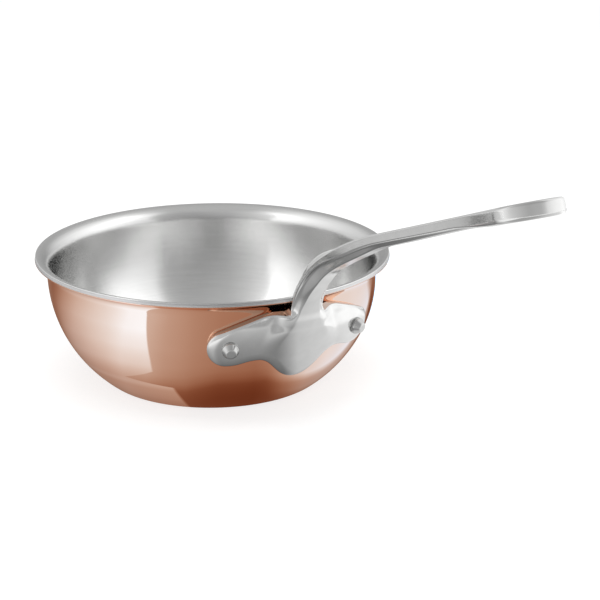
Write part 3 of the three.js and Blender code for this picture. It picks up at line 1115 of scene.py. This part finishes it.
    def front_height(self, across: Array, along: Array) -> Array:
        """Give the height of the front or lower face: the edge's thickness plus a keel that falls to a foot.

        Args:
            across: Lengths across the handle.
            along: Lengths along it.

        Returns:
            Heights off the seat.
        """
        marks = self.marks
        edge = through([(-self.leave_drop, self.plate), (marks["arch"], self.neck_edge),
                        (marks["mid_arch"], self.arch_edge), (marks["mid_sweep"], self.sweep_edge),
                        (marks["grip"], self.grip_edge), (marks["mid_grip"], self.mid_grip_edge),
                        (marks["shoulder"], self.shoulder_edge), (marks["end"], self.end_edge)], along)
        keel = through([(-self.armpit_drop, 0.0), (marks["lean"], self.neck_keel),
                        (marks["rim"], self.neck_keel), (marks["mid_arch"], self.arch_keel),
                        (marks["mid_sweep"], self.sweep_keel), (marks["grip"], self.grip_keel),
                        (marks["mid_grip"], self.mid_grip_keel), (marks["shoulder"], 0.0)], along)
        crest = through([(-self.armpit_drop, self.tongue_width), (marks["rim"], self.neck_crest),
                         (marks["arch"], self.keel_crest)], along)
        foot = through([(-self.armpit_drop, 2.0 * self.armpit_across), (marks["lean"], self.neck_foot),
                        (marks["rim"], self.neck_foot), (marks["sweep"], self.keel_foot)], along)
        fall = through([(marks["lean"] + self.wing_top, self.root_fall),
                        (marks["rim"] + self.wing_top, 0.0)], along)
        foot = np.maximum(foot, crest + 2.0 * fall)
        fill = self.bend_fill * (1.0 - smooth_step(np.abs(along - marks["bend"]), 0.0, self.fairing))
        return edge + (keel + fill) * (1.0 - smooth_step(np.abs(across), crest / 2.0, foot / 2.0))

    def outline(self) -> Array:
        """Draw the right half of the flat outline: tongue, wing, neck and grip, and the rounded end.

        Returns:
            Points as (across, along) from the tongue's tip to the grip's end.
        """
        marks = self.marks
        armpit = np.array([self.armpit_across, -self.armpit_drop])
        tongue = bezier([(0.0, -self.tongue_drop), (self.tongue_tip_width / 2.0, -self.tongue_drop),
                         (self.tongue_width / 2.0, -self.armpit_drop), armpit])
        rivets = self.rivets
        middle = np.array([rivets.spread + self.wing_past_rivet, -rivets.drop - self.wing_below_rivet])
        low = middle - (0.0, self.wing_radius)
        pull = ((middle - armpit)[0] / 2.0, 0.0)
        corner = np.array([self.neck_width / 2.0 + self.corner_fillet, self.wing_top])
        neck = np.array([self.neck_width / 2.0, self.wing_top + self.corner_fillet])
        tip = arc(middle, self.wing_radius, -math.pi / 2.0, math.pi / 2.0 - self.wing_slope)
        rise = (tip[-1] - corner)[0] / 3.0
        wing = np.vstack([
            bezier([armpit, armpit + pull, low - pull, low])[:-1],
            tip,
            bezier([tip[-1], tip[-1] + (-rise, rise * math.tan(self.wing_slope)),
                    corner + (rise, -rise * math.tan(self.corner_slope)), corner])[1:],
            bezier([corner, (neck[0], corner[1]), neck])[1:],
        ])
        shoulder = (self.end_width / 2.0, marks["shoulder"])
        widths = {"rim": self.neck_width, "sweep": self.arch_width, "grip": self.grip_width,
                  "waist": self.waist_width, "flare": self.flare_width, "shoulder": self.end_width}
        grip = catmull_rom([neck, *((width / 2.0, marks[mark]) for mark, width in widths.items())])
        end = bezier([shoulder, (shoulder[0] + self.end_swell, shoulder[1] + self.end_fullness),
                      (self.end_flat, marks["end"]), (0.0, marks["end"])])
        return np.vstack([
            spaced(tongue, self.tongue_steps),
            spaced(wing, self.wing_steps)[1:],
            spaced(grip, self.grip_steps)[1:],
            spaced(end, self.end_steps)[1:],
        ])

    def sections(self) -> Array:
        """Lay a closed section at each outline point, ruled from the middle line out to the outline.

        Round the wing, the rulings climb the middle line as the ruling stations say, so that none cross. Each
        runs over the front face, round its edge by a quarter ellipse, down the side and round the back radius
        to the back, which is flat but for a hump on the arch, and is mirrored for the left half. The hump
        stands off by 1 - s^4 of its height, where s is the share of the way from the middle to the edge.

        Returns:
            Flat places (across, along, height), as sections by points by 3.
        """
        edge, marks = self.outline(), self.marks
        ahead = np.gradient(edge, axis=0)
        ahead /= np.linalg.norm(ahead, axis=1, keepdims=True)
        out = np.stack([ahead[:, 1], -ahead[:, 0]], axis=1)
        out[0], out[-1] = (0.0, -1.0), (0.0, 1.0)

        def inset(depth: Array) -> Array:
            """Move the outline inwards, never past the middle line.

            Args:
                depth: How far, for each outline point and each step of a round.

            Returns:
                Flat places (across, along).
            """
            moved = edge[:, None] - out[:, None] * depth[..., None]
            moved[..., 0] = np.maximum(0.0, moved[..., 0])
            return moved

        wing_end = self.tongue_steps + self.wing_steps
        share = np.clip((np.arange(len(edge)) - self.tongue_steps) / self.wing_steps, 0.0, 1.0)
        reach = blend(self.wing_round, self.top_round, smooth_step(share, *self.round_change))
        reach = blend(reach, self.flange_round, smooth_step(edge[:, 1], marks["lean"], marks["rim"]))
        reach = blend(reach, self.end_round, smooth_step(edge[:, 1], marks["flare"], marks["shoulder"]))
        reach = reach[:, None]
        depth = np.minimum(reach, self.round_depth)
        inner = inset(reach)[:, 0]
        climb = np.interp(share, *np.array(self.ruling).T)
        climb = blend(inner[self.tongue_steps, 1], inner[wing_end, 1], climb)
        middle = np.zeros_like(inner)
        middle[:, 1] = np.where((share > 0.0) & (share < 1.0), climb, inner[:, 1])

        crowding = smooth_step(inner[:, 0], self.neck_width / 2.0, self.rivets.spread)
        crowd = blend(1.0, self.ruling_crowd, crowding)[:, None]
        rows = np.linspace(0.0, 1.0, self.face_steps + 1) ** crowd
        turn = np.linspace(0.0, np.pi / 2.0, self.round_steps + 1)[1:]
        face = blend(middle[:, None], inner[:, None], rows[..., None])
        face = np.dstack([face, self.front_height(face[..., 0], face[..., 1])])
        crown = self.front_height(inner[:, 0], inner[:, 1])[:, None]
        brow = np.dstack([inset(reach * (1.0 - np.sin(turn))), crown - depth * (1.0 - np.cos(turn))])
        heel_round = through([(marks["flare"], self.back_round), (marks["shoulder"], self.end_back_round)],
                             edge[:, 1, None])
        flank = blend(crown - depth, heel_round, np.array(self.side_shares))
        side = np.dstack([np.broadcast_to(edge[:, None], (*flank.shape, 2)), flank])
        heel = np.dstack([inset(heel_round * (1.0 - np.cos(turn))), heel_round * (1.0 - np.sin(turn))])
        hump = through([(marks["rim"] + self.hump_past_rim, 0.0), (marks["mid_arch"], self.hump),
                        (marks["mid_sweep"], 0.0)], edge[:, 1, None])
        rows = rows[:, -2::-1]
        back = blend(middle[:, None], heel[:, -1:, :2], rows[..., None])
        back = np.dstack([back, -hump * (1.0 - rows ** self.hump_squareness)])
        right = np.concatenate([face, brow, side, heel, back], axis=1)
        left = right[:, -2:0:-1] * (-1.0, 1.0, 1.0)
        return np.concatenate([right, left], axis=1)

    def eye(self) -> Piece:
        """Make the tool that cuts the hanging eye: a slot with round ends that flares at both faces.

        The flare is a quarter turn of the eye's edge radius, laid out flat and bent as the grip is.

        Returns:
            The closed tool.
        """
        middle = self.marks["end"] - self.eye_from_end - self.eye_length / 2.0
        radius, half = self.eye_width / 2.0, (self.eye_length - self.eye_width) / 2.0
        angle = np.linspace(0.0, 2.0 * np.pi, self.eye_sides, endpoint=False)
        way = np.stack([np.cos(angle), np.sin(angle)], axis=1)
        upper = way[:, 1] > -WELD
        core = np.stack([np.zeros(self.eye_sides), middle + half * np.where(upper, 1.0, -1.0)], axis=1)
        turn = np.linspace(0.0, np.pi / 2.0, self.eye_round_steps + 1)
        flare = self.eye_round * (1.0 - np.sin(turn))
        depth = self.eye_round * (1.0 - np.cos(turn))
        offsets = np.concatenate([[self.eye_round], flare, flare[::-1], [self.eye_round]])
        slot = core + way * (radius + offsets[:, None, None])
        pole = np.full((1, self.eye_sides, 2), (0.0, middle))
        ring = np.concatenate([pole, slot, pole])
        below = self.front_height(ring[..., 0], ring[..., 1])
        heights = np.concatenate([
            np.full((2, self.eye_sides), -self.eye_past),
            np.repeat(depth[:, None], self.eye_sides, axis=1),
            below[2 + len(turn):-2] - depth[::-1, None],
            below[-2:] + self.eye_past,
        ])
        tool = tube("eye_tool", self.bent(np.dstack([ring, heights])))
        close_up(tool)
        return tool

    def build(self) -> Piece:
        """Make the casting, cut its eye and dress it.

        Returns:
            The casting.
        """
        piece = tube("cast_handle", self.bent(self.sections()))
        close_up(piece)
        tool = self.eye()
        cut = piece.modifiers.new("eye", "BOOLEAN")
        cut.object, cut.operation, cut.solver = tool, "DIFFERENCE", "EXACT"
        whole = piece.evaluated_get(bpy.context.evaluated_depsgraph_get())
        piece.data = bpy.data.meshes.new_from_object(whole)
        piece.modifiers.clear()
        bpy.data.objects.remove(tool)
        piece.data.shade_smooth()
        piece.data.set_sharp_from_angle(angle=self.crease)
        dress(piece, self.finish.material(), Slot.CAST_STEEL, "handle")
        return piece


@dataclass
class Studio:
    """White floor and room, tents and sheets of light for the metal to reflect, a soft lamp, and the camera.

    Rings of stations give values by bearing in degrees, 0 towards the camera and rising to the picture's
    right. The other stations give them by distance from the axis or by height, in metres.
    """

    turn: float = math.radians(31.4)
    pitch: float = math.radians(18.092)
    lens: float = 111.4
    sensor: float = 36.0
    clip_start: float = 10.0
    clip_end: float = 50000.0
    camera_ahead: float = 1007.0
    camera_aside: float = 49.3
    camera_up: float = 372.0
    floor_size: float = 8000.0
    floor_up: float = -0.02
    floor_grey: float = 0.32
    floor_roughness: float = 0.9
    floor_glow: float = 0.8
    room_light: float = 0.5
    lamp_place: Triple = (150.0, -100.0, 1500.0)
    lamp_size: float = 1100.0
    lamp_power: float = 16.0
    tent_radius: float = 900.0
    tent_gap: float = 20.0
    tent_rows: int = 48
    tent_sides: int = 96
    lean_start: float = 380.0
    lean_end: float = 900.0
    lean_factor: float = 2.15
    overhead_start: float = 800.0
    overhead_end: float = 890.0
    overhead_light: float = 0.55
    table_start: float = 58.0
    table_end: float = 620.0
    table_rows: int = 39
    table_sides: int = 144
    table_crowd: float = 2.0
    copper_sheet_up: float = 0.03
    steel_sheet_up: float = 0.01
    green_law: Pair = (1.48, 1.8)
    blue_law: Pair = (1.98, 2.35)
    left_way: Triple = (0.634, 0.773, 0.0)
    left_blur: float = 1.0
    card_way: Triple = (0.588, 0.809, 0.0)
    far_start: float = 240.0
    far_end: float = 290.0
    tent_ring: Stations = (
        (-180, 0.42), (-172, 0.46), (-160, 0.68), (-140, 0.8), (-107, 0.95), (-80, 1.1), (-55, 1.36),
        (-44, 1.36), (-41, 0.82), (-35, 0.76), (-22, 0.58), (-8, 0.43), (10, 0.36), (22, 0.37), (38, 0.45),
        (44, 0.58), (50, 0.9), (70, 1.12), (95, 1.4), (120, 1.28), (142, 1.02), (160, 0.76), (172, 0.46),
        (180, 0.42),
    )
    tent_gain: Stations = ((0.0, 0.65), (0.23, 0.86), (0.45, 1.02), (0.64, 1.18), (0.78, 1.25), (1.0, 1.25))
    handle_ring: Stations = (
        (-180, 0.75), (-150, 0.7), (-120, 0.8), (-75, 1.25), (-52, 1.0), (-37, 0.82), (-22, 0.72), (-7, 0.64),
        (10, 0.54), (37, 0.6), (45, 0.75), (52, 1.03), (67, 1.2), (82, 1.32), (105, 1.42), (130, 1.1),
        (180, 0.75),
    )
    handle_gain: Stations = ((0.0, 1.0), (0.4, 1.0), (0.62, 0.84), (1.0, 0.8))
    steel_ring: Stations = (
        (-180, 0.4), (-120, 0.5), (-60, 1.0), (-45, 1.25), (-5, 1.25), (4, 0.8), (33, 0.8), (42, 1.05),
        (55, 1.2), (68, 1.3), (80, 1.45), (95, 1.4), (110, 1.2), (122, 0.7), (145, 0.5), (180, 0.4),
    )
    # Painted shade: steel_near and steel_card_near dim the steel's sheet near the pan, for its shadow on the
    # table.
    steel_near: Stations = (
        (0.0, 0.12), (0.06, 0.14), (0.08, 0.22), (0.1, 0.3), (0.115, 0.35), (0.15, 0.5), (0.175, 0.63),
        (0.21, 0.82), (0.26, 1.0), (1.0, 1.0),
    )
    steel_card_near: Stations = (
        (0.0, 0.3), (0.06, 0.35), (0.085, 0.55), (0.095, 0.7), (0.165, 0.75), (0.175, 1.0), (1.0, 1.0),
    )
    steel_far: Stations = (
        (-180, 0.4), (-120, 0.5), (-60, 1.0), (-45, 1.25), (-5, 1.25), (3, 0.55), (12, 0.48), (33, 0.5),
        (42, 0.68), (55, 0.84), (72, 1.0), (82, 1.4), (95, 1.35), (110, 1.2), (122, 0.7), (145, 0.5),
        (180, 0.4),
    )
    steel_card_share: Stations = ((-180, 0.0), (31, 0.0), (42, 1.0), (122, 1.0), (140, 0.0), (180, 0.0))
    table_left: Stations = (
        (-180, 0.36), (-121, 0.31), (-114, 0.37), (-102, 0.53), (-87, 0.72), (-72, 0.87), (-57, 1.01),
        (-46, 1.14), (-30, 1.17), (0, 1.17), (180, 1.17),
    )
    table_front: Stations = (
        (-180, 0.36), (-60, 0.74), (-32, 0.73), (-22, 0.62), (-7, 0.52), (7, 0.46), (22, 0.43), (30, 0.5),
        (38, 0.64), (52, 0.86), (67, 0.93), (97, 0.96), (115, 0.93), (122, 0.5), (145, 0.42), (180, 0.36),
    )
    # Painted shade: left_near, front_near and card_near dim the copper's sheet near the pan, for its shadow
    # on the table; front_shade does so for the handle's shadow.
    left_near: Stations = (
        (0.0, 0.28), (0.06, 0.3), (0.066, 0.4), (0.071, 0.45), (0.0755, 0.48), (0.0765, 0.55), (0.0785, 0.56),
        (0.08, 0.54), (0.085, 0.59), (0.1, 0.77), (0.13, 0.91), (0.18, 1.0), (1.0, 1.0),
    )
    left_edge: Stations = (
        (0.0, 0.029), (0.0785, 0.029), (0.08, -0.014), (0.085, 0.0), (0.093, 0.0185), (0.11, 0.0195),
        (1.0, 0.0195),
    )
    front_near: Stations = (
        (0.0, 0.38), (0.06, 0.38), (0.064, 0.4), (0.07, 0.45), (0.074, 0.5), (0.077, 0.6), (0.082, 0.74),
        (0.09, 0.88), (0.1, 0.95), (0.13, 1.0), (1.0, 1.0),
    )
    front_shade: Stations = ((-180, 0.0), (-12, 0.0), (4, 0.008), (28, 0.008), (38, 0.0), (180, 0.0))
    card_near: Stations = (
        (0.0, 0.3), (0.06, 0.33), (0.066, 0.52), (0.073, 0.6), (0.076, 0.68), (0.081, 1.0), (1.0, 1.0),
    )
    card_share: Stations = ((-180, 0.0), (25, 0.0), (45, 1.0), (122, 1.0), (140, 0.0), (180, 0.0))

    def round_pan(self, bench: Bench) -> Socket:
        """Give places turned so that X points to the camera's side and Y to the picture's right."""
        return bench.add("Mapping", {"Vector": bench.place(), "Rotation": (0.0, 0.0, self.turn)}).outputs[0]

    def bearing(self, bench: Bench, place: Socket) -> Socket:
        """Give the bearing of a turned place as a share of the full turn, with the camera's side at a half.

        The bearings draw together with height, as those of upright cards that lean out do.

        Args:
            bench: The material to add to.
            place: Turned places.

        Returns:
            Socket of the share.
        """
        parts = bench.parts(place)
        lean = bench.ramp(parts["Z"], self.lean_start * MM, self.lean_end * MM, 1.0, self.lean_factor)
        bearing = bench.math("ARCTAN2", parts["Y"], bench.math("MULTIPLY", parts["X"], lean))
        return bench.ramp(bearing, -math.pi, math.pi)

    @staticmethod
    def glow(bench: Bench, inputs: Inputs, clear: bool) -> bpy.types.Material:
        """Turn a material into a plain light.

        Args:
            bench: The material.
            inputs: Inputs of its Emission node.
            clear: Whether rays also pass through to what lies behind.

        Returns:
            The finished material.
        """
        light = bench.add("Emission", inputs).outputs[0]
        if clear:
            behind = bench.add("BsdfTransparent").outputs[0]
            light = bench.add("AddShader", {0: light, 1: behind}).outputs[0]
        bench.feed(bench.tree.nodes["Material Output"], {"Surface": light})
        bench.owner.cycles.emission_sampling = "NONE"
        return bench.owner

    @staticmethod
    def reflected_only(piece: Piece, material: bpy.types.Material) -> Piece:
        """Mark a panel as part of the stage that shows in polished metal and nowhere else.

        Args:
            piece: The panel.
            material: Its light.

        Returns:
            The panel.
        """
        piece.data.materials.append(material)
        piece.visible_camera = False
        piece.visible_diffuse = False
        piece.visible_transmission = False
        piece.visible_volume_scatter = False
        piece.visible_shadow = False
        piece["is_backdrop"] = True
        return piece

    def tent(self, name: str, radius: float, panels: Stations, gain: Stations, clear: bool) -> Piece:
        """Hang a tent: a sphere round the pan, bright in panels round it and even overhead.

        Args:
            name: Name of the tent.
            radius: Its radius in millimetres.
            panels: Brightness of its panels by bearing.
            gain: Factor on that brightness by height.
            clear: Whether rays also pass through to what lies behind.

        Returns:
            The tent.
        """
        half_round = arc((0.0, 0.0), radius, -math.pi / 2.0, math.pi / 2.0, self.tent_rows)
        piece = turned(name, half_round, self.tent_sides)
        bench = Bench.new(name + "_cloth")
        up = bench.parts(bench.place())["Z"]
        bright = bench.ring(self.bearing(bench, self.round_pan(bench)), panels)
        bright = bench.math("MULTIPLY", bright, bench.curve(up, gain))
        overhead = bench.ramp(up, self.overhead_start * MM, self.overhead_end * MM)
        strength = bench.mix(overhead, bright, self.overhead_light)
        return self.reflected_only(piece, self.glow(bench, {"Strength": strength}, clear))

    def sheet(self, name: str, up: float) -> Piece:
        """Lay a flat ring round the base, with its rows crowded towards the pan.

        Args:
            name: Name of the sheet.
            up: Its height in millimetres.

        Returns:
            The sheet.
        """
        rows = np.linspace(0.0, 1.0, self.table_rows + 1) ** self.table_crowd
        return tube(name, ring_points(blend(self.table_start, self.table_end, rows), up, self.table_sides))

    def copper_sheet(self) -> Piece:
        """Lay the sheet that only copper shows: bright cards to the left and right, and painted shade near
        the pan, which stands for the pan's shadow on the table.

        It is warm where it is dark and cool where it is bright: green and blue are powers of red, each with
        its own gain. The warm dark is painted light too: the copper's colour bounced back off the table.

        Returns:
            The sheet.
        """
        bench = Bench.new("painted_light_table_for_copper")
        place = self.round_pan(bench)
        share, out = self.bearing(bench, place), bench.length(place)
        past = bench.math("SUBTRACT", bench.reach(place, self.left_way), bench.curve(out, self.left_edge))
        is_left = bench.ramp(past, self.left_blur * MM, -self.left_blur * MM)
        left = bench.math("MULTIPLY", bench.ring(share, self.table_left), bench.curve(out, self.left_near))
        shaded = bench.math("SUBTRACT", out, bench.ring(share, self.front_shade))
        in_card = bench.curve(bench.reach(place, self.card_way), self.card_near)
        # Painted shade: the sheet is dim near the pan, where the pan's shadow would lie on the table.
        painted_shade = bench.mix(bench.ring(share, self.card_share), bench.curve(shaded, self.front_near), in_card)
        front = bench.math("MULTIPLY", bench.ring(share, self.table_front), painted_shade)
        red = bench.mix(is_left, front, left)
        green, blue = (bench.math("MULTIPLY", bench.math("POWER", red, power), gain)
                       for gain, power in (self.green_law, self.blue_law))
        colour = bench.add("CombineColor", {0: red, 1: green, 2: blue}).outputs[0]
        light = self.glow(bench, {"Color": colour, "Strength": 1.0}, clear=True)
        return self.reflected_only(self.sheet("copper_sheen", self.copper_sheet_up), light)

    def steel_sheet(self) -> Piece:
        """Lay the plain sheet that the other metals show: bright cards round the pan, and painted shade near
        it, which stands for the pan's shadow on the table.

        Returns:
            The sheet.
        """
        bench = Bench.new("painted_light_table_for_steel")
        place = self.round_pan(bench)
        share, out = self.bearing(bench, place), bench.length(place)
        # Painted shade: the sheet is dim near the pan, where the pan's shadow would lie on the table.
        painted_shade = bench.mix(bench.ring(share, self.steel_card_share),
                         bench.curve(out, self.steel_near), bench.curve(out, self.steel_card_near))
        near = bench.math("MULTIPLY", bench.ring(share, self.steel_ring), painted_shade)
        is_far = bench.ramp(out, self.far_start * MM, self.far_end * MM)
        strength = bench.mix(is_far, near, bench.ring(share, self.steel_far))
        light = self.glow(bench, {"Strength": strength}, clear=False)
        return self.reflected_only(self.sheet("steel_sheen", self.steel_sheet_up), light)

    @staticmethod
    def aim(light: Piece, falls_on: FallsOn, pieces: list[Piece]) -> None:
        """Let a tent or a sheet light some pieces only, or all the others.

        Args:
            light: The tent or sheet.
            falls_on: Whether the pieces are the ones lit or the ones left out.
            pieces: The pieces.
        """
        group = bpy.data.collections.new("lit_by_" + light.name)
        for piece in pieces:
            group.objects.link(piece)
        for member in group.collection_objects:
            member.light_linking.link_state = falls_on.value
        light.light_linking.receiver_collection = group

    @staticmethod
    def seen_share(bench: Bench) -> Socket:
        """Give 1 to camera, glossy and transmission rays and 0 to the rest.

        Args:
            bench: The material or world to add to.

        Returns:
            Socket of the share.
        """
        path = bench.add("LightPath").outputs
        seen = bench.math("MAXIMUM", path["Is Camera Ray"], path["Is Glossy Ray"])
        return bench.math("MAXIMUM", seen, path["Is Transmission Ray"])

    def floor(self) -> None:
        """Lay the white floor, part lit and part glowing, so that the shadow on it stays light."""
        half = self.floor_size / 2.0
        corners = np.array([[-half, -half], [half, -half], [half, half], [-half, half]])
        piece = make_piece("floor", np.insert(corners, 2, self.floor_up, axis=1), [[0, 1, 2, 3]])
        bench = Bench.new("white_floor")
        piece.data.materials.append(bench.coat({
            "Base Color": (self.floor_grey, self.floor_grey, self.floor_grey, 1.0),
            "Roughness": self.floor_roughness,
            "Specular IOR Level": 0.0,
            "Emission Color": (1.0, 1.0, 1.0, 1.0),
            "Emission Strength": bench.math("MULTIPLY", self.seen_share(bench), self.floor_glow),
        }))
        piece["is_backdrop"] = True

    def room(self) -> None:
        """Light the room evenly, with a plain white background."""
        bench = Bench(bpy.data.worlds.new("studio"))
        bpy.context.scene.world = bench.owner
        strength = bench.ramp(self.seen_share(bench), 0.0, 1.0, self.room_light, 1.0)
        bench.feed(bench.tree.nodes["Background"], {"Color": (1.0, 1.0, 1.0, 1.0), "Strength": strength})

    def lamp(self) -> None:
        """Hang a square soft lamp above, which faces the pan and which metal doesn't show."""
        light = bpy.data.lights.new("top_lamp", "AREA")
        light.size, light.energy = self.lamp_size * MM, self.lamp_power
        lamp = bpy.data.objects.new("top_lamp", light)
        lamp.location = Vector(self.lamp_place) * MM
        lamp.rotation_euler = (-lamp.location).to_track_quat("-Z", "Y").to_euler()
        lamp.visible_glossy = False
        bpy.context.scene.collection.objects.link(lamp)

    def camera(self) -> None:
        """Set the camera, level, at the photograph's place and angle."""
        data = bpy.data.cameras.new("camera")
        data.lens, data.sensor_width = self.lens, self.sensor
        data.clip_start, data.clip_end = self.clip_start * MM, self.clip_end * MM
        eye = bpy.data.objects.new("camera", data)
        sine, cosine = math.sin(self.turn), math.cos(self.turn)
        eye.location = Vector((
            self.camera_aside * sine + self.camera_ahead * cosine,
            self.camera_aside * cosine - self.camera_ahead * sine,
            self.camera_up,
        )) * MM
        level = math.cos(self.pitch)
        ahead = Vector((-cosine * level, sine * level, -math.sin(self.pitch)))
        eye.rotation_euler = ahead.to_track_quat("-Z", "Y").to_euler()
        bpy.context.scene.collection.objects.link(eye)
        bpy.context.scene.camera = eye

    def build(self, shell: Piece, fittings: list[Piece]) -> None:
        """Set up the whole studio, and share its light out between copper and steel, bowl and handle.

        Args:
            shell: The copper shell.
            fittings: The handle and the rivets.
        """
        bpy.context.scene.view_settings.view_transform = "Standard"
        self.camera()
        self.room()
        self.floor()
        self.lamp()
        inner, outer = self.tent_radius, self.tent_radius + self.tent_gap
        bowl_tent = self.tent("bowl_tent", outer, self.tent_ring, self.tent_gain, clear=False)
        self.aim(bowl_tent, FallsOn.ALL_BUT, fittings)
        handle_tent = self.tent("handle_tent", inner, self.handle_ring, self.handle_gain, clear=True)
        self.aim(handle_tent, FallsOn.ONLY, fittings)
        self.aim(self.copper_sheet(), FallsOn.ONLY, [shell])
        self.aim(self.steel_sheet(), FallsOn.ALL_BUT, [shell])
        log.info("studio is set")


def main() -> None:
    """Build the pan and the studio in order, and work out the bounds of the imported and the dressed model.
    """
    logging.basicConfig(level=logging.INFO, format="%(name)s: %(message)s")
    bowl, rivets = Bowl(), Rivets()
    handle = Handle(bowl, rivets)
    shell = bowl.build()
    casting = handle.build()
    plate = float(handle.front_height(np.array(rivets.spread), np.array(-rivets.drop)))
    Studio().build(shell, [casting, *rivets.build(bowl, plate)])
    boxes = {"cad": cad_box, "visual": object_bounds()}
    plain = {name: [[float(value) for value in corner] for corner in box] for name, box in boxes.items()}


if __name__ == "__main__":
    main()
